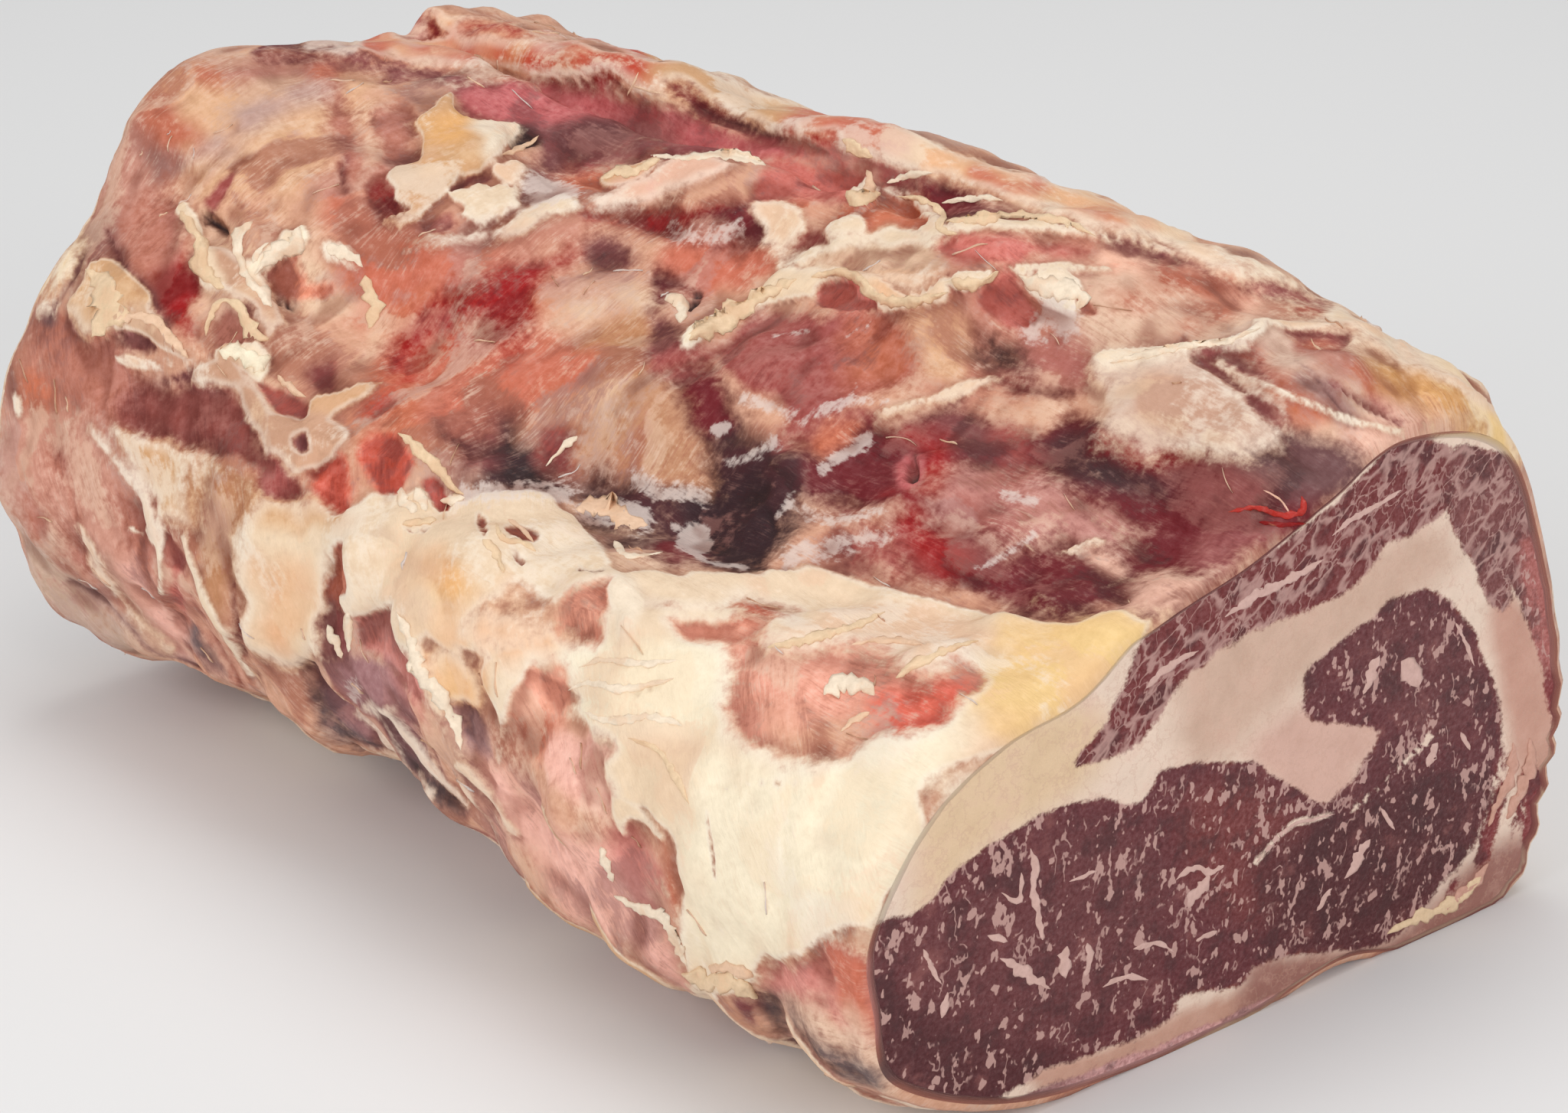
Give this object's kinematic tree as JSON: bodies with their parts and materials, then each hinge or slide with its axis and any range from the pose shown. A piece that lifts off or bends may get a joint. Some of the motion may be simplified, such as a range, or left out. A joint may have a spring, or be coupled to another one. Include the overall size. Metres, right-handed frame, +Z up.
{
  "type": "raw beef rib roast",
  "caption": "Boneless raw beef rib roast lying on its flat side, cut square at both ends, with marbled lean on the cut, torn cream fat on the rib side and a rolled fat lip along the top.",
  "frame": {"origin": "on the table under the middle of the roast's box", "axes": "+X along the roast towards the marbled cut, +Y towards the fat cap on the back, +Z up"},
  "size_m": [0.3198, 0.2128, 0.1443],
  "materials": {
    "raw_beef": "moist raw meat and fat"
  },
  "bodies": {
    "root": {"rib_roast": "raw_beef"}
  },
  "joints": []
}
